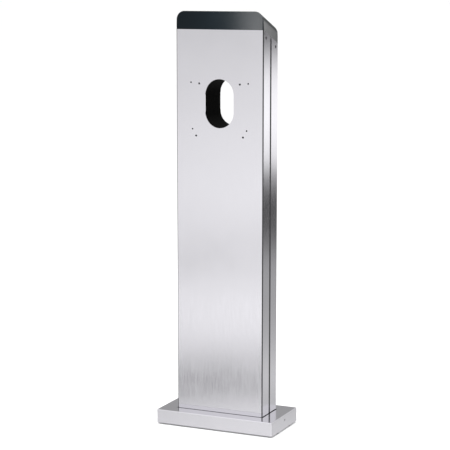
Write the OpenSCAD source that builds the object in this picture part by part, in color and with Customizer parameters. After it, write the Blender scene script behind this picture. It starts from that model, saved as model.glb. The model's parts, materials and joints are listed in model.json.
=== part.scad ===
// Free-standing stainless steel pedestal for a ticket or reader unit.
// Two folded shells stand on a base plate and two inner posts, with an oval tunnel
// through the column, a sloped cap on top and a plinth cover over the base plate.
// Millimetres, +Z up, front face towards -Y, origin on the floor under the centre.

/* [Column] */
// Outside width of the column
column_w = 300; // [285:5:400]
// Outside depth of the column
column_d = 116; // [96:1:150]
// Height of the column's front face above the floor, up to the cap
column_h = 1278; // [1060:1:1600]
// Thickness of the folded shells
sheet_t = 2; // [1.5:0.1:2.6]
// Outside radius of the shells' vertical bends
bend_r = 4; // [3:0.1:8]
// Width of the shadow gap between the front and the rear shell
seam_gap = 6; // [3:0.5:10]
// Depth of the rubber below the shells' outer face in that gap
seam_recess = 2.4; // [0.2:0.1:3]
// Outside radius of the bends that turn the shells' edges in at the gap
lip_r = 3; // [2.7:0.1:4]
// Height of the locating lugs that close the gap under the cap
seam_lug_h = 8; // [4:0.5:14]

/* [Cap] */
// Height of the cap's front face
cap_h = 57; // [44:1:90]
// Fall of the cap and of the shells' top edge towards the rear, in degrees
cap_slope = 21; // [5:1:25]
// Radius of the cap's two long upper edges
cap_corner_r = 27; // [8:1:36]
// Wall thickness of the cap
cap_wall = 3; // [2.5:0.1:5]
// Draft of the cap's sides, as the inset at its top
cap_draft = 1.2; // [0:0.1:2]
// Radius of the cap's upright edges
cap_rim_r = 4; // [3:0.1:8]
// Width of each of the four tabs that hang into the column
cap_tab_w = 20; // [14:1:26]
// Length of those tabs below the cap's edge
cap_tab_l = 28; // [24:1:40]
// Distance of the cap screws below the cap's edge
cap_screw_drop = 17; // [14:1:20]
// Distance of the side screws from the middle of the column's depth
side_screw_y = 38; // [26:1:42]

/* [Aperture] */
// Width of the oval aperture in both shells
aperture_w = 98; // [70:1:120]
// Height of the oval aperture
aperture_h = 154; // [130:1:190]
// Height of the aperture's centre above the floor
aperture_z = 1047; // [860:1:1080]
// How far the tunnel's wall is set back behind the aperture's edge
tunnel_setback = 1; // [0.4:0.1:3]
// Wall thickness of the tunnel
tunnel_wall = 2.5; // [1.5:0.1:4]
// Width of the tunnel's flanges, beyond its wall
tunnel_flange = 11; // [8:1:12]
// Length over which the two tunnel halves overlap
tunnel_lap = 10; // [6:1:20]

/* [Device holes] */
// Spacing of the upper pair of the large holes
large_top_w = 140; // [136:1:160]
// Height of that pair above the aperture's centre
large_top_z = 62; // [56:1:80]
// Spacing of the lower pair of the large holes
large_bottom_w = 162; // [140:1:180]
// Distance of that pair below the aperture's centre
large_bottom_z = 103; // [98:1:115]
// Radius of the large holes
large_r = 3.3; // [2.8:0.1:4]
// Spacing of the upper pair of the small holes
small_top_w = 197; // [185:1:202]
// Height of that pair above the aperture's centre
small_top_z = 65; // [56:1:80]
// Spacing of the lower pair of the small holes
small_bottom_w = 187; // [180:1:202]
// Distance of that pair below the aperture's centre
small_bottom_z = 82; // [76:1:86]
// Radius of the small holes
small_r = 2.6; // [2.2:0.1:3.2]
// Thickness of the backing plate behind the device holes
backing_t = 3; // [2:0.5:5]

/* [Plinth cover] */
// How far the plinth cover stands out at each side of the column
plinth_side = 54; // [48:1:90]
// How far it stands out in front of the column and behind it
plinth_front = 47; // [44:1:90]
// Height of the plinth cover's walls
plinth_h = 44; // [40:1:70]
// Thickness of the plinth cover's sheet
plinth_t = 2; // [1.5:0.1:3]
// Outside radius of its vertical corners
plinth_corner_r = 6; // [4:1:12]
// Outside radius of its upper bends
plinth_edge_r = 3; // [3:0.1:6]
// Radius of the relief holes at the cover's upper corners
relief_hole_r = 1.3; // [0.8:0.1:2]
// Gap between the floor and the cover's lower edge
floor_gap = 5; // [4:0.5:9]
// Gap all round between the column and the cover's cut-out
column_gap = 3; // [0.6:0.1:4]
// Height of the cover's grub screws above its lower edge
grub_z = 28; // [25:1:30]

/* [Base and posts] */
// Thickness of the base plate
base_t = 8; // [6:0.5:12]
// Height of the base plate's underside above the floor
base_z = 14; // [13:0.5:16]
// Gap between the base plate's edge and the cover's inside
base_gap = 3; // [2:0.5:6]
// Distance of the anchor holes inwards from the column's sides
anchor_in = 20; // [10:1:40]
// Distance of the anchor holes in front of the column and behind it
anchor_out = 22; // [18:1:26]
// Radius of the anchor holes
anchor_r = 6.5; // [4.5:0.5:8]
// Distance between the cable entry in the base plate and each post
entry_margin = 25; // [24:1:50]
// Depth of the cable entry
entry_d = 70; // [40:1:80]
// Corner radius of the cable entry
entry_r = 12; // [8:1:18]
// Width of the rubber lip around the cable entry
grommet_lip = 4; // [3:0.5:6]
// Sheet thickness of the posts
post_t = 3; // [2:0.5:4]
// Gap between the shells' inside and the posts' webs
post_gap = 3; // [2.6:0.1:5]
// Width of the posts' flanges
post_flange = 30; // [26:1:32]

/* [Levelling feet] */
// Radius of the foot pads
pad_r = 9; // [7:0.5:9.5]
// Thickness of the foot pads
pad_t = 4.6; // [4:0.1:4.8]
// Radius of the feet's threaded studs
stud_r = 4; // [3:0.5:5]
// Distance of the feet from the middle of the plinth's depth
foot_y = 50; // [40:1:56]
// Levelling travel of each foot
foot_travel = 8; // [4:1:8]

/* [Cable fittings] */
// Height of the terminal rail above the floor
rail_z = 420; // [300:5:600]
// Height of the strain relief bar above the floor
relief_z = 130; // [100:5:220]
// Number of terminal blocks beside the earth terminal
terminal_count = 4; // [1:1:8]
// Width of one terminal block
terminal_w = 8; // [5:0.5:12]
// Radius of the cable that each saddle holds
saddle_r = 9; // [5:0.5:11]

/* [Fasteners] */
// Radius of the side screws' shanks
screw_r = 2.5; // [2:0.1:3]
// Radius of the side screws' heads
screw_head_r = 4.6; // [4.2:0.1:5.4]
// Radius of the cover's grub screws
grub_r = 3; // [2.5:0.5:4]

/* [Hidden] */
$fn = 64;
CUT = 1;              // how far a cutting body runs past what it cuts
FIT = 0.3;            // clearance between parts that are assembled by hand
THREAD_FIT = 0.05;    // radial clearance of a thread that turns
MIN_BEND = 0.5;       // least inside radius of a bend
HEX = 6;

half_w = column_w / 2;
half_d = column_d / 2;
in_x = half_w - sheet_t;                 // the shells' inner side face
in_y = half_d - sheet_t;                 // the shells' inner front and rear face
slope = tan(cap_slope);
plinth_w = column_w + 2 * plinth_side;
plinth_d = column_d + 2 * plinth_front;
reach = 4 * column_h;                    // size of a block that stands for a half-space
base_top = base_z + base_t;
plinth_top = floor_gap + plinth_h;

post_x = in_x - post_gap;                // outer face of a post's web
post_y = in_y - FIT;                     // outer face of a post's flanges
post_in_x = post_x - post_flange;        // where a post's flanges end
entry_w = 2 * (post_in_x - entry_margin);
anchor_w = column_w - 2 * anchor_in;
anchor_d = column_d + 2 * anchor_out;
post_drop = 4;                           // how far the posts stay below the shells' top

plate_w = plinth_w - 2 * (plinth_t + base_gap);
plate_d = plinth_d - 2 * (plinth_t + base_gap);

tunnel_in_w = aperture_w + 2 * tunnel_setback;
tunnel_in_h = aperture_h + 2 * tunnel_setback;
tunnel_end = tunnel_lap / 2;             // where the front half's tube ends
flange_t = 2;
socket_wall = 2.5;

backing_margin = 12;                     // plate left beyond the outermost holes
backing_top = max(large_top_z, small_top_z) + 20;
backing_bottom = max(large_bottom_z, small_bottom_z) + backing_margin + 8;
backing_w = 2 * (post_in_x - 2);
backing_y = -in_y;                       // the backing plate lies on the front shell

m5_nut_af = 8;
m5_nut_t = 4;
m6_nut_af = 10;
m6_nut_t = 5;
m8_nut_af = 13;
m8_nut_t = 5;

lower_screw_z = base_top + 13;
lower_head_t = 2.6;
socket_r = 1.7;                          // hexagon sockets of the M5 screws
spacer_r = 8;
plate_corner_r = 6;
lip_in = post_gap + sheet_t - FIT;       // depth of the turned-in lips, from the outer face
tab_gap = FIT;
cap_tab_t = post_gap - 2 * tab_gap;

pad_edge_gap = 1;                        // between a foot pad and the cover's inside
foot_x = plinth_w / 2 - plinth_t - pad_edge_gap - pad_r;
pad_floor_t = 2;
stud_bottom = pad_floor_t + FIT;
stud_top = base_top + m8_nut_t + foot_travel + 4;

bracket_t = 3;
bracket_w = 30;
bracket_foot = 24;
grub_nut_t = 5;
bracket_x = plinth_w / 2 - plinth_t - grub_nut_t - 2;   // outer face of its upstand
grub_height = floor_gap + grub_z;

earth_r = 4;
earth_h = 26;
earth_washer_r = 8;
earth_washer_t = 1.6;
earth_nut_t = 6;
earth_gap = 9;                           // from the grommet's lip to the stud's middle

rail_h = 35;
rail_crown = 27;
rail_depth = 7.5;
rail_t = 1;
rail_w = 2 * (post_x - post_t - 2);
rail_back = post_y - post_t;             // the posts' rear flanges carry the rails
relief_h = 30;
relief_t = 3;
rail_screw_x = post_in_x + 11;
saddle_x = 45;
saddle_strap_t = 2;
saddle_screw_r = 1.7;
saddle_ear = 8;                          // screw's distance beyond the saddle's cable radius

// Height of the shells' sloped top edge at depth y
function top_z(y) = column_h - (y + half_d) * slope;

// ---- shared shapes -------------------------------------------------------

module both_sides() {
    for (side = [-1, 1]) scale_x(side) children();
}

// Mirrors its children to the left for side -1
module scale_x(side) {
    if (side < 0) mirror([1, 0, 0]) children();
    else children();
}

// A bar along +X from the origin's plane, and the same towards +Y
module rod_x(r, l, sides = $fn) { rotate([0, 90, 0]) cylinder(r = r, h = l, $fn = sides); }
module rod_y(r, l, sides = $fn) { rotate([-90, 0, 0]) cylinder(r = r, h = l, $fn = sides); }

// Circumscribed radius of a hexagon from its width across flats
function hex_r(af) = af / 2 / cos(30);

module hex_nut(af, t, bore) {
    difference() {
        cylinder(r = hex_r(af), h = t, $fn = HEX);
        translate([0, 0, -CUT]) cylinder(r = bore, h = t + 2 * CUT);
    }
}

// A stadium with round ends, upright, in the XY plane
module oval(w, h) {
    straight = h - w;
    square([w, straight], center = true);
    for (end = [-1, 1]) translate([0, end * straight / 2]) circle(d = w);
}

// A prism of an upright 2D outline, from y0 to y1, centred on the aperture's height
module through_y(y0, y1) {
    translate([0, y1, aperture_z]) rotate([90, 0, 0]) linear_extrude(y1 - y0) children();
}

module rounded_rect(w, d, r) {
    square([w - 2 * r, d], center = true);
    square([w, d - 2 * r], center = true);
    for (x = [-1, 1], y = [-1, 1]) translate([x * (w / 2 - r), y * (d / 2 - r)]) circle(r);
}

// Everything above the shells' sloped top edge, lowered by drop
module above_slope(drop = 0) {
    translate([0, -half_d, column_h - drop]) rotate([-cap_slope, 0, 0])
        translate([-reach / 2, -reach / 2, 0]) cube(reach);
}

// Everything below that edge, lowered by drop
module below_slope(drop) {
    translate([0, -half_d, column_h - drop]) rotate([-cap_slope, 0, 0])
        translate([-reach / 2, -reach / 2, -reach]) cube(reach);
}

// ---- column shells -------------------------------------------------------

// Plan outline of a shell: closed towards -Y with two bends, and its two edges
// turned in by a second pair of bends at the seam
module shell_plan() {
    seam_y = -seam_gap / 2;
    difference() {
        plan_block(half_w, -half_d, seam_y, bend_r, lip_r);
        plan_block(in_x, -in_y, seam_y - sheet_t, bend_r - sheet_t, lip_r - sheet_t);
        translate([lip_in - half_w, seam_y - 2 * sheet_t]) square([2 * (half_w - lip_in), 3 * sheet_t]);
    }
}

// A rectangle from y0 to y1 with one radius at its two y0 corners and one at its y1 corners
module plan_block(half, y0, y1, r0, r1) {
    translate([-half, y0 + r0]) square([2 * half, y1 - r1 - y0 - r0]);
    translate([-half + r0, y0]) square([2 * (half - r0), r0]);
    translate([-half + r1, y1 - r1]) square([2 * (half - r1), r1]);
    for (side = [-1, 1]) {
        translate([side * (half - r0), y0 + r0]) circle(r0);
        translate([side * (half - r1), y1 - r1]) circle(r1);
    }
}

// A row of two holes through the front or rear sheet, dz from the aperture's centre
module hole_pair(spacing, dz, r, y0, y1) {
    both_sides() translate([spacing / 2, y0, aperture_z + dz]) rod_y(r, y1 - y0);
}

module device_holes(y0, y1) {
    hole_pair(large_top_w, large_top_z, large_r, y0, y1);
    hole_pair(large_bottom_w, -large_bottom_z, large_r, y0, y1);
    hole_pair(small_top_w, small_top_z, small_r, y0, y1);
    hole_pair(small_bottom_w, -small_bottom_z, small_r, y0, y1);
}

// Countersunk and plain screw holes through a shell's sides, at depth y
module side_holes(y) {
    both_sides() {
        translate([in_x, y, top_z(y) - cap_screw_drop]) {
            translate([-CUT, 0, 0]) rod_x(screw_r + THREAD_FIT, sheet_t + 2 * CUT);
            rotate([0, 90, 0])
                cylinder(r1 = screw_r + THREAD_FIT, r2 = screw_head_r + THREAD_FIT, h = sheet_t);
        }
        translate([in_x - CUT, y, lower_screw_z]) rod_x(screw_r + THREAD_FIT, sheet_t + 2 * CUT);
    }
}

module front_shell() {
    color("gainsboro") difference() {
        translate([0, 0, base_top]) linear_extrude(column_h - base_top) shell_plan();
        above_slope();
        through_y(-half_d - CUT, -in_y + CUT) oval(aperture_w, aperture_h);
        device_holes(-half_d - CUT, -in_y + CUT);
        side_holes(-side_screw_y);
    }
}

module rear_shell() {
    color("gainsboro") difference() {
        translate([0, 0, base_top])
            linear_extrude(column_h - base_top) mirror([0, 1]) shell_plan();
        above_slope();
        through_y(in_y - CUT, half_d + CUT) oval(aperture_w, aperture_h);
        side_holes(side_screw_y);
    }
}

// Upright bar from a post's web outwards, between the two shells' turned-in edges
module seam_bar(side, depth) {
    scale_x(side) translate([post_x, -seam_gap / 2, base_top])
        cube([depth, seam_gap, column_h - base_top]);
}

module seam_gasket(side) {
    color("black") difference() {
        seam_bar(side, post_gap + sheet_t - seam_recess);
        above_slope(seam_lug_h);
    }
}
module left_seam_gasket() { seam_gasket(-1); }
module right_seam_gasket() { seam_gasket(1); }

// Lugs on the posts that close the seam at its top, flush with the shells
module seam_lugs() {
    color("gainsboro") for (side = [-1, 1]) difference() {
        seam_bar(side, post_gap + sheet_t);
        above_slope();
        below_slope(seam_lug_h);
    }
}

// Washers that fill the gap between a shell and a post at the lower screws
module shell_spacers() {
    color("silver") both_sides() for (y = [-side_screw_y, side_screw_y])
        translate([post_x, y, lower_screw_z]) difference() {
            rod_x(spacer_r, post_gap);
            translate([-CUT, 0, 0]) rod_x(screw_r + THREAD_FIT, post_gap + 2 * CUT);
        }
}

// Button-head screws that hold the shells to the posts, under the plinth cover
module shell_screws() {
    shank = sheet_t + post_gap + post_t;
    color("dimgray") both_sides() for (y = [-side_screw_y, side_screw_y])
        translate([half_w, y, lower_screw_z]) difference() {
            union() {
                translate([-shank, 0, 0]) rod_x(screw_r, shank + 0.5);
                rotate([0, 90, 0]) cylinder(r1 = screw_head_r, r2 = screw_head_r * 0.6, h = lower_head_t);
            }
            translate([lower_head_t - 1.6, 0, 0]) rod_x(socket_r, 3, HEX);
        }
}

// ---- cap -----------------------------------------------------------------

// End outline of the cap: drafted sides and two rounded upper corners
module cap_outline(half, height, r) {
    top_half = half - cap_draft;
    polygon([
        [-half, 0], [half, 0], [top_half, height - r], [top_half - r, height],
        [r - top_half, height], [-top_half, height - r]
    ]);
    for (side = [-1, 1]) translate([side * (top_half - r), height - r]) intersection() {
        circle(r);
        translate([-r, 0]) square([2 * r, r]);
    }
}

// That outline drawn out along the slope, from well before the column to well behind it
module cap_slab(half, height, r) {
    translate([0, -half_d, column_h])
        rotate([90 - cap_slope, 0, 0])
            translate([0, 0, -2 * column_d]) linear_extrude(3 * column_d)
                cap_outline(half, height, r);
}

// Upright prism between two depths, with its outer plan corners rounded
module cap_block(half, y, r) {
    translate([0, 0, column_h - column_d * slope - 2 * cap_h])
        linear_extrude(column_d * slope + 4 * cap_h) rounded_rect(2 * half, 2 * y, r);
}

module cap() {
    height = cap_h * cos(cap_slope);
    color([0.16, 0.17, 0.19]) {
        difference() {
            intersection() {
                cap_slab(half_w, height, cap_corner_r);
                cap_block(half_w, half_d, cap_rim_r);
            }
            intersection() {
                translate([0, 0, -CUT])
                    cap_slab(half_w - cap_wall, height - cap_wall + CUT, cap_corner_r - cap_wall);
                cap_block(half_w - cap_wall, half_d - cap_wall, cap_rim_r);
            }
        }
        both_sides() for (y = [-side_screw_y, side_screw_y]) cap_tab(y);
    }
}

// A tab that hangs between shell and post, with a slot open at its lower end;
// its root runs up into the cap's side wall
module cap_tab(y) {
    root = 14;
    difference() {
        intersection() {
            translate([post_x + tab_gap, y - cap_tab_w / 2, top_z(y) - 2 * cap_tab_l])
                cube([cap_tab_t, cap_tab_w, 2 * cap_tab_l + root]);
            above_slope(cap_tab_l);
        }
        translate([post_x, y, top_z(y) - cap_screw_drop]) {
            rod_x(screw_r + FIT, post_gap);
            translate([0, -screw_r - FIT, -2 * cap_tab_l])
                cube([post_gap, 2 * (screw_r + FIT), 2 * cap_tab_l]);
        }
    }
}

// Countersunk screws through the shells' sides, the cap's tabs and the posts
module cap_screws() {
    inner = post_x - post_t - m5_nut_t;
    color([0.12, 0.12, 0.13]) both_sides() for (y = [-side_screw_y, side_screw_y])
        translate([0, y, top_z(y) - cap_screw_drop]) difference() {
            union() {
                translate([inner, 0, 0]) rod_x(screw_r, in_x - inner);
                translate([in_x, 0, 0]) rotate([0, 90, 0])
                    cylinder(r1 = screw_r, r2 = screw_head_r, h = sheet_t);
            }
            translate([half_w - 1.7, 0, 0]) rod_x(1.75, 3, HEX);
        }
}

module cap_nuts() {
    color("silver") both_sides() for (y = [-side_screw_y, side_screw_y])
        translate([post_x - post_t - m5_nut_t, y, top_z(y) - cap_screw_drop])
            rotate([0, 90, 0]) hex_nut(m5_nut_af, m5_nut_t, screw_r + THREAD_FIT);
}

// ---- posts and base ------------------------------------------------------

module post(side) {
    color("lightsteelblue") scale_x(side) difference() {
        translate([0, 0, base_top]) linear_extrude(column_h - base_top) difference() {
            translate([post_in_x, -post_y]) square([post_flange, 2 * post_y]);
            translate([post_in_x - CUT, -post_y + post_t])
                square([post_flange - post_t + CUT, 2 * (post_y - post_t)]);
        }
        above_slope(post_drop);
        for (y = [-side_screw_y, side_screw_y]) {
            translate([post_x - post_t - CUT, y, lower_screw_z])
                rod_x(screw_r + THREAD_FIT, post_t + 2 * CUT);
            translate([post_x - post_t - CUT, y, top_z(y) - cap_screw_drop])
                rod_x(screw_r + THREAD_FIT, post_t + 2 * CUT);
        }
        for (z = [rail_z, relief_z])
            translate([rail_screw_x, rail_back - CUT, z]) rod_y(screw_r + THREAD_FIT, post_t + 2 * CUT);
    }
}
module left_post() { post(-1); }
module right_post() { post(1); }

// Folded channel welded between the posts above the tunnel
module top_tie() {
    tie_w = 2 * (post_x - post_t);
    tie_d = 60;
    tie_h = 24;
    tie_top = top_z(half_d) - cap_tab_l - 18;
    color("lightsteelblue") translate([-tie_w / 2, -tie_d / 2, tie_top - tie_h]) difference() {
        cube([tie_w, tie_d, tie_h]);
        translate([-CUT, post_t, -CUT]) cube([tie_w + 2 * CUT, tie_d - 2 * post_t, tie_h - post_t + CUT]);
    }
}

module base_plate() {
    color("silver") translate([0, 0, base_z]) difference() {
        linear_extrude(base_t) difference() {
            rounded_rect(plate_w, plate_d, plate_corner_r);
            rounded_rect(entry_w, entry_d, entry_r);
        }
        for (x = [-1, 1], y = [-1, 1]) {
            translate([x * anchor_w / 2, y * anchor_d / 2, -CUT])
                cylinder(r = anchor_r, h = base_t + 2 * CUT);
            translate([x * foot_x, y * foot_y, -CUT])
                cylinder(r = stud_r + THREAD_FIT, h = base_t + 2 * CUT);
        }
    }
}

// Angle brackets that carry the plinth cover and take its grub screws
module cover_brackets() {
    color("silver") both_sides() {
        translate([bracket_x - bracket_t, -bracket_w / 2, base_top])
            cube([bracket_t, bracket_w, plinth_top - plinth_t - base_top]);
        translate([bracket_x - bracket_foot, -bracket_w / 2, base_top])
            cube([bracket_foot, bracket_w, bracket_t]);
    }
}

// Rubber edging of the cable entry, with a lip above and below the plate
module cable_grommet() {
    lip_t = 3;
    throat = 3;
    opening_w = entry_w - 2 * throat;
    opening_d = entry_d - 2 * throat;
    color([0.08, 0.08, 0.08]) difference() {
        union() {
            translate([0, 0, base_z]) linear_extrude(base_t) rounded_rect(entry_w, entry_d, entry_r);
            for (z = [base_z - lip_t, base_top]) translate([0, 0, z]) linear_extrude(lip_t)
                rounded_rect(entry_w + 2 * grommet_lip, entry_d + 2 * grommet_lip, entry_r + grommet_lip);
        }
        translate([0, 0, base_z - 2 * lip_t]) linear_extrude(base_t + 4 * lip_t)
            rounded_rect(opening_w, opening_d, entry_r - throat);
    }
}

// Earth stud with its welded foot, and the washer and nut on it
module on_earth_stud(z) { translate([-(entry_w / 2 + grommet_lip + earth_gap), 0, base_top + z]) children(); }

module earth_stud() {
    color("goldenrod") on_earth_stud(0) difference() {
        union() {
            cylinder(r = earth_r, h = earth_h);
            cylinder(r = hex_r(m8_nut_af), h = m8_nut_t, $fn = HEX);
        }
        translate([0, 0, earth_h - 1]) cylinder(r = 1.5, h = 2);
    }
}

module earth_washer() {
    color("goldenrod") on_earth_stud(m8_nut_t) difference() {
        cylinder(r = earth_washer_r, h = earth_washer_t);
        translate([0, 0, -CUT]) cylinder(r = earth_r + THREAD_FIT, h = earth_washer_t + 2 * CUT);
    }
}

module earth_nut() {
    color("goldenrod") on_earth_stud(m8_nut_t + earth_washer_t)
        hex_nut(m8_nut_af, earth_nut_t, earth_r + THREAD_FIT);
}

// ---- tunnel and device plate ---------------------------------------------

// The tunnel's flange takes the tube's outline and the flange's width around it
module tunnel_outline(grow) { oval(tunnel_in_w + 2 * grow, tunnel_in_h + 2 * grow); }

module front_tunnel() {
    color([0.05, 0.05, 0.05]) difference() {
        union() {
            through_y(-in_y, -in_y + flange_t) tunnel_outline(tunnel_wall + tunnel_flange);
            through_y(-in_y, tunnel_end) tunnel_outline(tunnel_wall);
        }
        through_y(-in_y - CUT, tunnel_end + CUT) tunnel_outline(0);
    }
}

// The rear half ends in a socket that goes over the front half's tube
module rear_tunnel() {
    socket_start = tunnel_end - tunnel_lap;
    seat = tunnel_end + FIT;
    color([0.05, 0.05, 0.05]) difference() {
        union() {
            through_y(in_y - flange_t, in_y) tunnel_outline(tunnel_wall + tunnel_flange);
            through_y(seat, in_y) tunnel_outline(tunnel_wall);
            through_y(socket_start, seat + socket_wall) tunnel_outline(tunnel_wall + FIT + socket_wall);
        }
        through_y(socket_start - CUT, in_y + CUT) tunnel_outline(0);
        through_y(socket_start - CUT, seat) tunnel_outline(tunnel_wall + FIT);
    }
}

module device_backing_plate() {
    y0 = backing_y;
    y1 = backing_y + backing_t;
    color("silver") difference() {
        translate([-backing_w / 2, y0, aperture_z - backing_bottom])
            cube([backing_w, backing_t, backing_bottom + backing_top]);
        through_y(y0 - CUT, y1 + CUT) tunnel_outline(tunnel_wall + tunnel_flange + FIT);
        device_holes(y0 - CUT, y1 + CUT);
    }
}

module nut_pair(spacing, dz, af, t, bore) {
    both_sides() translate([spacing / 2, backing_y + backing_t, aperture_z + dz])
        rotate([-90, 0, 0]) hex_nut(af, t, bore);
}

module large_weld_nuts() {
    bore = large_r - 0.3;
    color("silver") {
        nut_pair(large_top_w, large_top_z, m6_nut_af, m6_nut_t, bore);
        nut_pair(large_bottom_w, -large_bottom_z, m6_nut_af, m6_nut_t, bore);
    }
}

module small_weld_nuts() {
    bore = small_r - 0.1;
    color("silver") {
        nut_pair(small_top_w, small_top_z, m5_nut_af, m5_nut_t, bore);
        nut_pair(small_bottom_w, -small_bottom_z, m5_nut_af, m5_nut_t, bore);
    }
}

// ---- plinth cover --------------------------------------------------------

// Rectangle with its two upper corners rounded, standing on the X axis
module arched(w, h, r) {
    translate([-w / 2, 0]) square([w, h - r]);
    translate([-w / 2 + r, 0]) square([w - 2 * r, h]);
    for (side = [-1, 1]) translate([side * (w / 2 - r), h - r]) circle(r);
}

// A block whose vertical corners and upper edges are both rounded
module soft_block(w, d, h, corner, edge) {
    intersection() {
        linear_extrude(h) rounded_rect(w, d, corner);
        translate([0, d, 0]) rotate([90, 0, 0]) linear_extrude(2 * d) arched(w, h, edge);
        translate([-w, 0, 0]) rotate([90, 0, 90]) linear_extrude(2 * w) arched(d, h, edge);
    }
}

module plinth_cover() {
    color("gainsboro") difference() {
        translate([0, 0, floor_gap])
            soft_block(plinth_w, plinth_d, plinth_h, plinth_corner_r, plinth_edge_r);
        translate([0, 0, floor_gap - CUT])
            soft_block(plinth_w - 2 * plinth_t, plinth_d - 2 * plinth_t, plinth_h - plinth_t + CUT,
                       plinth_corner_r - plinth_t, max(plinth_edge_r - plinth_t, MIN_BEND));
        translate([0, 0, plinth_top - 2 * plinth_t]) linear_extrude(3 * plinth_t)
            rounded_rect(column_w + 2 * column_gap, column_d + 2 * column_gap, bend_r + column_gap);
        both_sides() translate([plinth_w / 2 - 2 * plinth_t, 0, grub_height])
            rod_x(grub_r + THREAD_FIT, 3 * plinth_t);
        for (x = [-1, 1], y = [-1, 1]) corner_relief(x, y);
    }
}

// A small hole through a corner's bend, just below the upper edge
module corner_relief(x, y) {
    bore_l = plinth_corner_r + plinth_t;
    translate([x * (plinth_w / 2 - plinth_corner_r), y * (plinth_d / 2 - plinth_corner_r),
               plinth_top - plinth_edge_r - 2 * relief_hole_r])
        rotate([0, 0, atan2(y, x)]) rod_x(relief_hole_r, bore_l);
}

module cover_nuts() {
    color("silver") both_sides()
        translate([plinth_w / 2 - plinth_t - grub_nut_t, 0, grub_height])
            rotate([0, 90, 0]) hex_nut(m6_nut_af, grub_nut_t, grub_r + THREAD_FIT);
}

module cover_grub_screws() {
    length = plinth_w / 2 - bracket_x - 0.4;
    color([0.12, 0.12, 0.13]) both_sides() translate([bracket_x, 0, grub_height]) difference() {
        rod_x(grub_r, length);
        translate([length - 3, 0, 0]) rod_x(1.75, 4, HEX);
    }
}

// ---- cable fittings ------------------------------------------------------

// Top-hat rail across the posts' rear flanges
module terminal_rail() {
    lip = (rail_h - rail_crown) / 2;
    color("silver") difference() {
        translate([-rail_w / 2, 0, rail_z]) {
            translate([0, rail_back - rail_t, -rail_crown / 2]) cube([rail_w, rail_t, rail_crown]);
            for (up = [-1, 1]) {
                translate([0, rail_back - rail_depth, up * rail_crown / 2 - (up > 0 ? rail_t : 0)])
                    cube([rail_w, rail_depth, rail_t]);
                translate([0, rail_back - rail_depth, up > 0 ? rail_crown / 2 - rail_t : -rail_h / 2])
                    cube([rail_w, rail_t, lip + rail_t]);
            }
        }
        both_sides() translate([rail_screw_x, rail_back - rail_t - CUT, rail_z])
            rod_y(screw_r + THREAD_FIT, rail_t + 2 * CUT);
    }
}

// Side outline of a terminal: body in front of the rail, with two hooks round its lips
module terminal_side(depth, height) {
    hook = 3;
    front = rail_back - rail_depth - FIT;
    difference() {
        union() {
            translate([front - depth, -height / 2]) square([depth, height]);
            for (up = [-1, 1]) translate([front - CUT, up > 0 ? rail_h / 2 + FIT : -rail_h / 2 - FIT - hook])
                square([rail_depth / 2 + CUT, hook]);
        }
        for (up = [-1, 1]) translate([front - depth, up * height / 2]) rotate(45) square(9, center = true);
    }
}

module terminal(x, w, depth = 38, height = 42) {
    clearance = 0.2;
    translate([x + clearance / 2, 0, rail_z]) difference() {
        rotate([90, 0, 90]) linear_extrude(w - clearance) terminal_side(depth, height);
        for (up = [-1, 1])
            translate([(w - clearance) / 2, rail_back - rail_depth - depth - 2, up * height / 4])
                rod_y(w / 4, 14);
    }
}

module terminal_blocks() {
    color("lightgray") for (i = [0 : terminal_count - 1]) terminal(i * terminal_w, terminal_w);
}

module earth_terminal() { color([0.45, 0.65, 0.2]) terminal(-terminal_w, terminal_w); }

module rail_end_stops() {
    stop_w = 7;
    color("dimgray") {
        terminal(-terminal_w - stop_w, stop_w, 22, rail_h + 7);
        terminal(terminal_count * terminal_w, stop_w, 22, rail_h + 7);
    }
}

// Flat bar across the posts' rear flanges that the incoming cables are clamped to
module strain_relief_bar() {
    color("silver") difference() {
        translate([-rail_w / 2, rail_back - relief_t, relief_z - relief_h / 2])
            cube([rail_w, relief_t, relief_h]);
        both_sides() translate([rail_screw_x, rail_back - relief_t - CUT, relief_z])
            rod_y(screw_r + THREAD_FIT, relief_t + 2 * CUT);
        at_saddle_screws() translate([0, -CUT, 0]) rod_y(saddle_screw_r + THREAD_FIT, relief_t + 2 * CUT);
    }
}

// Places its children at each saddle screw, on the bar's front face
module at_saddle_screws() {
    for (x = [-saddle_x, saddle_x], side = [-1, 1])
        translate([x + side * (saddle_r + saddle_ear), rail_back - relief_t, relief_z]) children();
}

// Saddle clamps on the bar: a half ring with two ears
module cable_saddles() {
    strap_w = 14;
    ear_end = saddle_r + saddle_ear + 5;
    color([0.1, 0.1, 0.1]) difference() {
        for (x = [-saddle_x, saddle_x])
            translate([x, rail_back - relief_t, relief_z - strap_w / 2])
            linear_extrude(strap_w) difference() {
                union() {
                    circle(saddle_r + saddle_strap_t);
                    translate([-ear_end, -saddle_strap_t]) square([2 * ear_end, saddle_strap_t]);
                }
                circle(saddle_r);
                translate([-2 * ear_end, 0]) square([4 * ear_end, 2 * ear_end]);
            }
        at_saddle_screws() translate([0, -2 * saddle_strap_t, 0])
            rod_y(saddle_screw_r + THREAD_FIT, 3 * saddle_strap_t);
    }
}

module saddle_screws() {
    head_t = 2;
    color("silver") at_saddle_screws() difference() {
        union() {
            translate([0, -saddle_strap_t, 0]) rod_y(saddle_screw_r, saddle_strap_t + relief_t);
            translate([0, -saddle_strap_t - head_t, 0]) rod_y(2.8, head_t);
        }
        translate([0, -saddle_strap_t - head_t - CUT, 0]) rod_y(1.1, CUT + 1.2, HEX);
    }
}

// Pan-head screws that hold the rail and the bar to the posts
module rail_screws() {
    color("dimgray") both_sides() {
        rail_screw(rail_z, rail_t);
        rail_screw(relief_z, relief_t);
    }
}

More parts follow.
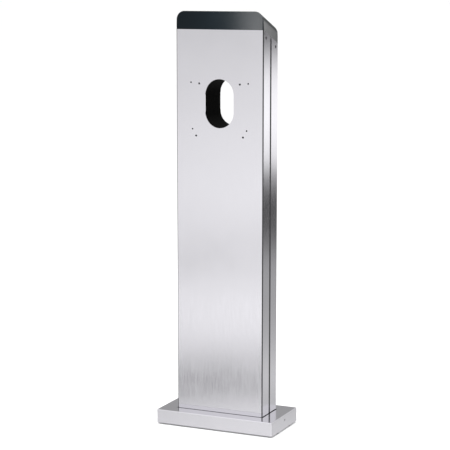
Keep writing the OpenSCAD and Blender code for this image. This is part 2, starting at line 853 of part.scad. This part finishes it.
module rail_screw(z, carried_t) {
    head_t = 3;
    translate([rail_screw_x, rail_back - carried_t, z]) difference() {
        union() {
            translate([0, -head_t / 2, 0]) rod_y(screw_r, head_t / 2 + carried_t + post_t);
            translate([0, -head_t, 0]) rod_y(screw_head_r, head_t);
        }
        translate([0, -head_t - CUT, 0]) rod_y(socket_r, CUT + 1.8, HEX);
    }
}

// ---- levelling feet ------------------------------------------------------

module foot_lock_nuts() {
    color("silver") for (x = [-1, 1], y = [-1, 1])
        translate([x * foot_x, y * foot_y, base_top]) hex_nut(m8_nut_af, m8_nut_t, stud_r + THREAD_FIT);
}

module foot_pad(x, y) {
    rim = 2.6;
    color([0.1, 0.1, 0.1]) translate([x * foot_x, y * foot_y, 0]) difference() {
        union() {
            cylinder(r = pad_r, h = rim);
            translate([0, 0, rim]) cylinder(r1 = pad_r, r2 = stud_r + 2, h = pad_t - rim);
        }
        translate([0, 0, pad_floor_t]) cylinder(r = stud_r + THREAD_FIT, h = pad_t);
    }
}
module front_left_pad() { foot_pad(-1, -1); }
module front_right_pad() { foot_pad(1, -1); }
module rear_left_pad() { foot_pad(-1, 1); }
module rear_right_pad() { foot_pad(1, 1); }

module foot_stud(x, y) {
    slot_w = 1.4;
    slot_depth = 2;
    color("silver") translate([x * foot_x, y * foot_y, 0]) difference() {
        translate([0, 0, stud_bottom]) cylinder(r = stud_r, h = stud_top - stud_bottom);
        translate([-stud_r - CUT, -slot_w / 2, stud_top - slot_depth])
            cube([2 * (stud_r + CUT), slot_w, slot_depth + CUT]);
    }
}
module front_left_stud() { foot_stud(-1, -1); }
module front_right_stud() { foot_stud(1, -1); }
module rear_left_stud() { foot_stud(-1, 1); }
module rear_right_stud() { foot_stud(1, 1); }

// ---- nodes ---------------------------------------------------------------

base_plate();
left_post();
right_post();
top_tie();
cover_brackets();
front_shell();
rear_shell();
left_seam_gasket();
right_seam_gasket();
seam_lugs();
shell_spacers();
shell_screws();
cap();
cap_screws();
cap_nuts();
front_tunnel();
rear_tunnel();
device_backing_plate();
large_weld_nuts();
small_weld_nuts();
plinth_cover();
cover_nuts();
cover_grub_screws();
cable_grommet();
earth_stud();
earth_washer();
earth_nut();
terminal_rail();
terminal_blocks();
earth_terminal();
rail_end_stops();
strain_relief_bar();
cable_saddles();
saddle_screws();
rail_screws();
foot_lock_nuts();
front_left_pad();
front_right_pad();
rear_left_pad();
rear_right_pad();
front_left_stud();
front_right_stud();
rear_left_stud();
rear_right_stud();
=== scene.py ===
"""Looks of a stainless equipment pedestal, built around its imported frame. Metres."""
import json
import math

import bpy
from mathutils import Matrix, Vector

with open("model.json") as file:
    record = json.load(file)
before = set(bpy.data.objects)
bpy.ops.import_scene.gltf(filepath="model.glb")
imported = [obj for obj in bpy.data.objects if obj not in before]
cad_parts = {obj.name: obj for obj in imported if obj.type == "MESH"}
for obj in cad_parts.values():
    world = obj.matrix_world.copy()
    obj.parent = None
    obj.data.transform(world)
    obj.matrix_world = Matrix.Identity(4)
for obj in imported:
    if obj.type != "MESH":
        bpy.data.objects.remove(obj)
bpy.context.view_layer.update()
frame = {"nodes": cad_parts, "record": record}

# ---- camera: where it stands round the object, and its lens --------------------

# From a least-squares fit of the model to the photo, when its plinth was 8 mm narrower
CAMERA_AZIMUTH = math.radians(24.507)   # to the right of the front face's middle
CAMERA_DISTANCE = 5.031
CAMERA_HEIGHT = 1.4335
CAMERA_PITCH = 0.1537                   # downwards
CAMERA_YAW = 0.0013                     # to the left of the column's axis
CAMERA_LENS = 126.98                    # on a 36 mm sensor

# ---- studio: brightness of the surroundings by elevation in degrees -------------

# Both lists were tuned until the steel's tones matched the photo's.
# What the front face mirrors: a large pale wall with soft bands, and a dark line low down
FRONT_BANDS = [
    (-40, 0.60), (-18, 0.95), (-15.8, 1.04), (-15.2, 0.92), (-14.75, 0.00), (-14.3, 0.12),
    (-13.6, 0.84), (-13.0, 0.98), (-12.3, 1.16), (-11.6, 1.16), (-10.8, 0.92), (-10.2, 0.68),
    (-9.3, 0.84), (-8.6, 1.00), (-7.5, 1.02), (-4.4, 0.88), (-1.8, 0.72), (2, 0.70),
    (8, 0.80), (16, 0.90), (30, 1.00), (60, 1.30), (90, 1.30),
]
# What the right side mirrors: a bright softbox between two dark strips, in a grey wall
REAR_BANDS = [
    (-40, 0.45), (-15.9, 0.80), (-15.2, 0.48), (-14.4, 0.76), (-13.2, 0.54), (-11.6, 0.42),
    (-10.3, 0.44), (-9.6, 0.24), (-8.8, 0.08), (-7.6, 0.09), (-7.0, 0.38), (-6.5, 1.02),
    (-5, 1.28), (-3.3, 1.10), (-2.5, 0.45), (-1.9, 0.10), (4, 0.30), (9, 0.85), (22, 0.85),
    (38, 0.90), (90, 1.20),
]
BAND_LOW, BAND_HIGH = -40, 90

# What lies on one side of the object. It fades in as the dot product of a direction with that
# side goes from the first number of its spread to the second.
REAR_SIDE = Vector((0.41, 0.91))        # the surroundings change from the front to the rear bands
REAR_SPREAD = (-0.1, 0.6)
BRIGHTER_SIDE = Vector((0.91, -0.41))   # the pale wall gets brighter towards this side
BRIGHTER_SPREAD = (-0.15, 0.15)
WALL_LOW, WALL_HIGH = 0.91, 1.16        # what the front bands are multiplied by
PANEL_SIDE = Vector((-0.91, 0.41))      # a grey panel, high up behind the left side
PANEL_SPREAD = (0.2, 0.7)
PANEL_FADE = (2, 8)                     # elevations between which it fades in too
PANEL_GREY = (0.38, 0.38, 0.38, 1)
FLAG_SIDE = Vector((0.995, 0.10))       # a dark flag, which the front right fold mirrors; that fold's dark line is also painted shade
FLAG_SPREAD = (0.55, 0.9)
FLAG_FADE = (-14.5, -11.5)
FLAG_GREY = (0.25, 0.25, 0.25, 1)

WHITE = (1, 1, 1, 1)
STUDIO_LIGHT = 1.0                      # what polished surfaces mirror
ROOM_LIGHT = 1.12                       # what matt surfaces receive from all round
BACKDROP_LIGHT = 1.0                    # what the camera sees behind the object
OVERHEAD_PLACE = (0, -0.8, 4.2)
OVERHEAD_SIZE = (4.5, 4.5)
OVERHEAD_POWER = 160
CAP_CARD_SIZE = (0.10, 0.30)
CAP_CARDS = {                           # name: place, target, power
    "cap_front_card": ((0.035, -0.30, 1.30), (0.14, -0.058, 1.305), 2.0),
    "cap_side_card": ((0.62, 0.75, 1.30), (0.15, 0.0, 1.30), 2.6),
}
FLOOR_SIZE = 400.0
FLOOR_COLOUR = (0.93, 0.93, 0.93, 1)

# ---- small helpers for node trees -----------------------------------------------


def add(tree, kind, settings=None, **inputs):
    """A new node of a kind, with its settings and its unlinked inputs set by name."""
    node = tree.nodes.new(kind)
    for name, value in (settings or {}).items():
        setattr(node, name, value)
    for name, value in inputs.items():
        node.inputs[name.replace("_", " ")].default_value = value
    return node


def join(tree, source, target):
    tree.links.new(source, target)


def ramp(tree, source, stops, low, high):
    """A grey ramp over a number, with stops given in that number's own units."""
    spread = add(tree, "ShaderNodeMapRange", {"clamp": True}, From_Min=low, From_Max=high)
    join(tree, source, spread.inputs["Value"])
    node = add(tree, "ShaderNodeValToRGB")
    elements = node.color_ramp.elements
    while len(elements) > 1:
        elements.remove(elements[-1])
    for i, (at, level) in enumerate(stops):
        place = (at - low) / (high - low)
        element = elements[0] if i == 0 else elements.new(place)
        element.position = place
        element.color = (level, level, level, 1)
    join(tree, spread.outputs["Result"], node.inputs["Fac"])
    return node.outputs["Color"]


def towards(tree, direction, side, spread):
    """How far a direction points to one side: 0 below the spread's start, 1 above its end."""
    start, end = spread
    dot = add(tree, "ShaderNodeVectorMath", {"operation": "DOT_PRODUCT"})
    join(tree, direction, dot.inputs[0])
    dot.inputs[1].default_value = (side.x, side.y, 0)
    smooth = add(tree, "ShaderNodeMapRange", {"interpolation_type": "SMOOTHSTEP"},
                 From_Min=start, From_Max=end)
    join(tree, dot.outputs["Value"], smooth.inputs["Value"])
    return smooth.outputs["Result"]


def blend_colours(tree, factor, first, second):
    node = add(tree, "ShaderNodeMix", {"data_type": "RGBA"})
    join(tree, factor, node.inputs["Factor"])
    for value, socket in ((first, node.inputs[6]), (second, node.inputs[7])):
        if isinstance(value, bpy.types.NodeSocket):
            join(tree, value, socket)
        else:
            socket.default_value = value
    return node.outputs[2]


def between(tree, source, low, high, from_low=0.3, from_high=0.7):
    """A number mapped straight from one range to another, and kept inside it. The default
    range is where most of a noise's values lie."""
    node = add(tree, "ShaderNodeMapRange", From_Min=from_low, From_Max=from_high,
               To_Min=low, To_Max=high)
    join(tree, source, node.inputs["Value"])
    return node.outputs["Result"]


def combine(tree, operation, first, second):
    node = add(tree, "ShaderNodeMath", {"operation": operation})
    join(tree, first, node.inputs[0])
    join(tree, second, node.inputs[1])
    return node.outputs[0]


def total(tree, first, second):
    return combine(tree, "ADD", first, second)


def product(tree, first, second):
    return combine(tree, "MULTIPLY", first, second)


# ---- studio ---------------------------------------------------------------------


def make_world():
    world = bpy.data.worlds.new("studio")
    world.use_nodes = True
    tree = world.node_tree
    tree.nodes.clear()
    direction = add(tree, "ShaderNodeTexCoord").outputs["Generated"]
    parts = add(tree, "ShaderNodeSeparateXYZ")
    join(tree, direction, parts.inputs[0])
    rise = add(tree, "ShaderNodeMath", {"operation": "ARCSINE"})
    join(tree, parts.outputs["Z"], rise.inputs[0])
    elevation = add(tree, "ShaderNodeMath", {"operation": "DEGREES"})
    join(tree, rise.outputs[0], elevation.inputs[0])
    front = ramp(tree, elevation.outputs[0], FRONT_BANDS, BAND_LOW, BAND_HIGH)
    rear = ramp(tree, elevation.outputs[0], REAR_BANDS, BAND_LOW, BAND_HIGH)
    brighter = towards(tree, direction, BRIGHTER_SIDE, BRIGHTER_SPREAD)
    wall = add(tree, "ShaderNodeVectorMath", {"operation": "SCALE"})
    join(tree, front, wall.inputs[0])
    join(tree, between(tree, brighter, WALL_LOW, WALL_HIGH, 0, 1), wall.inputs["Scale"])
    rearwards = towards(tree, direction, REAR_SIDE, REAR_SPREAD)
    seen = blend_colours(tree, rearwards, wall.outputs["Vector"], rear)
    for side, spread, fade, grey in ((PANEL_SIDE, PANEL_SPREAD, PANEL_FADE, PANEL_GREY),
                                     (FLAG_SIDE, FLAG_SPREAD, FLAG_FADE, FLAG_GREY)):
        covered = product(tree, towards(tree, direction, side, spread),
                          between(tree, elevation.outputs[0], 0, 1, *fade))
        seen = blend_colours(tree, covered, seen, grey)
    studio = add(tree, "ShaderNodeBackground", Strength=STUDIO_LIGHT)
    join(tree, seen, studio.inputs["Color"])
    plain = add(tree, "ShaderNodeBackground", Color=WHITE, Strength=BACKDROP_LIGHT)
    room = add(tree, "ShaderNodeBackground", Color=WHITE, Strength=ROOM_LIGHT)
    path = add(tree, "ShaderNodeLightPath")
    result = studio.outputs[0]
    for ray, light in (("Is Diffuse Ray", room), ("Is Camera Ray", plain)):
        pick = add(tree, "ShaderNodeMixShader")
        join(tree, path.outputs[ray], pick.inputs[0])
        join(tree, result, pick.inputs[1])
        join(tree, light.outputs[0], pick.inputs[2])
        result = pick.outputs[0]
    join(tree, result, add(tree, "ShaderNodeOutputWorld").inputs["Surface"])
    bpy.context.scene.world = world


def area_light(name, place, target, size, power):
    data = bpy.data.lights.new(name, "AREA")
    data.shape = "RECTANGLE"
    data.size, data.size_y = size
    data.energy = power
    light = bpy.data.objects.new(name, data)
    light.visible_camera = False
    light.location = place
    light.rotation_euler = (Vector(target) - Vector(place)).to_track_quat("-Z", "Y").to_euler()
    bpy.context.scene.collection.objects.link(light)
    return light


def light_only(light, obj):
    """The light falls on this one object and on nothing else."""
    receivers = bpy.data.collections.new(light.name + "_receivers")
    receivers.objects.link(obj)
    light.light_linking.receiver_collection = receivers


def make_lights():
    overhead = area_light("overhead_softbox", OVERHEAD_PLACE, (0, 0, 0), OVERHEAD_SIZE,
                          OVERHEAD_POWER)
    overhead.visible_glossy = False
    for name, (place, target, power) in CAP_CARDS.items():
        light_only(area_light(name, place, target, CAP_CARD_SIZE, power), frame["nodes"]["cap"])


def make_floor():
    data = bpy.data.meshes.new("floor")
    half = FLOOR_SIZE / 2
    data.from_pydata([(-half, -half, 0), (half, -half, 0), (half, half, 0), (-half, half, 0)],
                     [], [(0, 1, 2, 3)])
    floor = bpy.data.objects.new("floor", data)
    bpy.context.scene.collection.objects.link(floor)
    material, tree, shader = new_material("pale_floor")
    shader.inputs["Base Color"].default_value = FLOOR_COLOUR
    shader.inputs["Roughness"].default_value = 0.8
    shader.inputs["Specular IOR Level"].default_value = 0.1
    data.materials.append(material)
    floor.visible_glossy = False


def make_camera():
    data = bpy.data.cameras.new("camera")
    data.sensor_width = 36
    data.lens = CAMERA_LENS
    camera = bpy.data.objects.new("camera", data)
    camera.location = (CAMERA_DISTANCE * math.sin(CAMERA_AZIMUTH),
                       -CAMERA_DISTANCE * math.cos(CAMERA_AZIMUTH), CAMERA_HEIGHT)
    camera.rotation_euler = (math.pi / 2 - CAMERA_PITCH, 0, CAMERA_AZIMUTH + CAMERA_YAW)
    bpy.context.scene.collection.objects.link(camera)
    bpy.context.scene.camera = camera


# ---- materials --------------------------------------------------------------------


def new_material(name):
    material = bpy.data.materials.new(name)
    material.use_nodes = True
    tree = material.node_tree
    return material, tree, tree.nodes["Principled BSDF"]


def noise(tree, scale, detail=4.0, rough=0.6, stretch=(1, 1, 1), turn=(0, 0, 0)):
    """Noise in object space; scale is in features per metre, stretched along some axes."""
    coordinates = add(tree, "ShaderNodeTexCoord")
    mapping = add(tree, "ShaderNodeMapping", Scale=stretch, Rotation=turn)
    join(tree, coordinates.outputs["Object"], mapping.inputs["Vector"])
    node = add(tree, "ShaderNodeTexNoise", Scale=scale, Detail=detail, Roughness=rough)
    join(tree, mapping.outputs["Vector"], node.inputs["Vector"])
    return node.outputs["Fac"]


def bump(tree, shader, height, depth, strength):
    node = add(tree, "ShaderNodeBump", Strength=strength, Distance=depth)
    join(tree, height, node.inputs["Height"])
    join(tree, node.outputs["Normal"], shader.inputs["Normal"])


def painted_fold_shade_mask(tree):
    """1 on the upright bends, whose normals lie between two sides, and 0 on flat faces: the mask
    of the painted shade.
    """
    parts = add(tree, "ShaderNodeSeparateXYZ")
    join(tree, add(tree, "ShaderNodeTexCoord").outputs["Normal"], parts.inputs[0])
    slant = add(tree, "ShaderNodeMath", {"operation": "ABSOLUTE"})
    join(tree, product(tree, parts.outputs["X"], parts.outputs["Y"]), slant.inputs[0])
    return between(tree, slant.outputs[0], 0, 1, FOLD_START, FOLD_WHOLE)


def brushed(name, light, dark, rough, grain, axis, anisotropic, painted_fold_shade=None):
    """Brushed sheet metal. grain stretches the noise along the brushing; axis is what the
    tangents circle, which lies along the brushing. A painted shade can darken its upright bends."""
    material, tree, shader = new_material(name)
    lines = noise(tree, 1400, detail=3, rough=0.7, stretch=grain)
    clouds = noise(tree, 5, detail=3, rough=0.55)
    scuffs = noise(tree, 160, detail=5, rough=0.7,
                   stretch=tuple(0.25 + 0.75 * share for share in grain), turn=(0, 0.5, 0.3))
    colour = blend_colours(tree, between(tree, clouds, 0, 1), dark, light)
    # Painted shade: the upright bends are darkened in the base colour, in place of a dark
    # reflection along them.
    if painted_fold_shade:
        colour = blend_colours(tree, painted_fold_shade_mask(tree), colour, painted_fold_shade)
    join(tree, colour, shader.inputs["Base Color"])
    shine = total(tree, between(tree, lines, rough - 0.04, rough + 0.05),
                  between(tree, scuffs, 0, 0.12, from_low=0.62, from_high=0.78))
    join(tree, total(tree, shine, between(tree, clouds, -0.015, 0.02)), shader.inputs["Roughness"])
    shader.inputs["Metallic"].default_value = 1.0
    shader.inputs["Anisotropic"].default_value = anisotropic
    tangent = add(tree, "ShaderNodeTangent", {"direction_type": "RADIAL", "axis": axis})
    join(tree, tangent.outputs[0], shader.inputs["Tangent"])
    bump(tree, shader, lines, depth=0.00004, strength=0.35)
    return material


def zinc(name, light, dark, rough):
    """Plated or galvanised metal with soft spangle."""
    material, tree, shader = new_material(name)
    coordinates = add(tree, "ShaderNodeTexCoord")
    cells = add(tree, "ShaderNodeTexVoronoi", Scale=90)
    join(tree, coordinates.outputs["Object"], cells.inputs["Vector"])
    grain = noise(tree, 300, detail=4, rough=0.6)
    mottle = total(tree, between(tree, cells.outputs["Distance"], 0, 0.5, from_low=0, from_high=1),
                   between(tree, grain, 0, 0.5))
    join(tree, blend_colours(tree, mottle, dark, light), shader.inputs["Base Color"])
    join(tree, between(tree, grain, rough - 0.06, rough + 0.08), shader.inputs["Roughness"])
    shader.inputs["Metallic"].default_value = 1.0
    bump(tree, shader, grain, depth=0.0001, strength=0.25)
    return material


def moulded(name, light, dark, rough, texture, depth, specular=0.5):
    """Plastic, rubber or blackened metal with a fine pebbled skin; texture is in pebbles
    per metre."""
    material, tree, shader = new_material(name)
    pebbles = noise(tree, texture, detail=3, rough=0.6)
    clouds = noise(tree, 14, detail=3, rough=0.5)
    join(tree, blend_colours(tree, between(tree, clouds, 0, 1), dark, light),
         shader.inputs["Base Color"])
    worn = total(tree, between(tree, pebbles, rough - 0.05, rough + 0.06),
                 between(tree, clouds, -0.02, 0.03))
    join(tree, worn, shader.inputs["Roughness"])
    shader.inputs["Specular IOR Level"].default_value = specular
    bump(tree, shader, pebbles, depth, strength=0.3)
    return material


def shades(r, g, b, spread=0.06):
    """A light and a dark shade of one colour, for soft variation."""
    light = tuple(min(1.0, c * (1 + spread)) for c in (r, g, b))
    dark = tuple(c * (1 - spread) for c in (r, g, b))
    return light + (1,), dark + (1,)


# The painted shade on a fold starts, and is full, at these products of a normal's two level
# parts. The product is 0 on a flat side and 0.5 in the middle of a fold.
FOLD_START, FOLD_WHOLE = 0.10, 0.35
# The painted shade on the steel's upright bends: a dark base colour that stands in for a dark
# reflection.
PAINTED_FOLD_SHADE = (0.10, 0.10, 0.105, 1)
ALONG_Z = (1, 1, 0.012)
ALONG_X = (0.012, 1, 1)


def make_materials():
    """One material for each slot of the record, and one for the plinth cover's own brushing."""
    steel = shades(0.778, 0.768, 0.808, 0.02)
    recipes = {
        # Its upright bends take the painted shade.
        "brushed_stainless": (brushed, *steel, 0.115, ALONG_Z, "Z", 0.5, PAINTED_FOLD_SHADE),
        "plinth_stainless": (brushed, *steel, 0.14, ALONG_X, "X", 0.2),
        "structural_steel": (zinc, *shades(0.62, 0.63, 0.65), 0.42),
        "zinc_plated_steel": (zinc, *shades(0.70, 0.71, 0.73), 0.28),
        # The screws are black; made this dark, their heads also carry painted shade for the hex
        # sockets and the shadow round them.
        "black_screws": (moulded, *shades(0.008, 0.008, 0.009), 0.45, 900, 0.00005, 0.1),
        "anthracite_cap": (moulded, *shades(0.0015, 0.0035, 0.0052), 0.33, 1500, 0.00006, 0.13),
        # The aperture's lining is black plastic; made near-black and almost without reflection, it
        # also carries painted shade for the deep hole.
        "black_plastic": (moulded, *shades(0.0009, 0.0008, 0.0006), 0.5, 1200, 0.00005, 0.01),
        "black_rubber": (moulded, *shades(0.004, 0.004, 0.0045), 0.75, 900, 0.0001, 0.1),
        "grey_terminals": (moulded, *shades(0.50, 0.50, 0.48), 0.45, 1200, 0.00005),
        "green_terminal": (moulded, *shades(0.20, 0.40, 0.07), 0.45, 1200, 0.00005),
        "brass_earth": (zinc, *shades(0.75, 0.56, 0.26), 0.25),
    }
    return {name: make(name, *values) for name, (make, *values) in recipes.items()}


def paint_nodes(materials):
    """Every CAD node takes the material of its slot; the plinth cover is brushed along X."""
    for part in frame["record"]["subparts"]:
        name = "plinth_stainless" if part["node"] == "plinth_cover" else part["material_slot"]
        obj = frame["nodes"][part["node"]]
        if not obj.material_slots:
            obj.data.materials.append(None)
        for slot in obj.material_slots:
            slot.material = materials[name]


make_camera()
make_world()
make_lights()
make_floor()
paint_nodes(make_materials())
bpy.context.scene.view_settings.view_transform = "Standard"
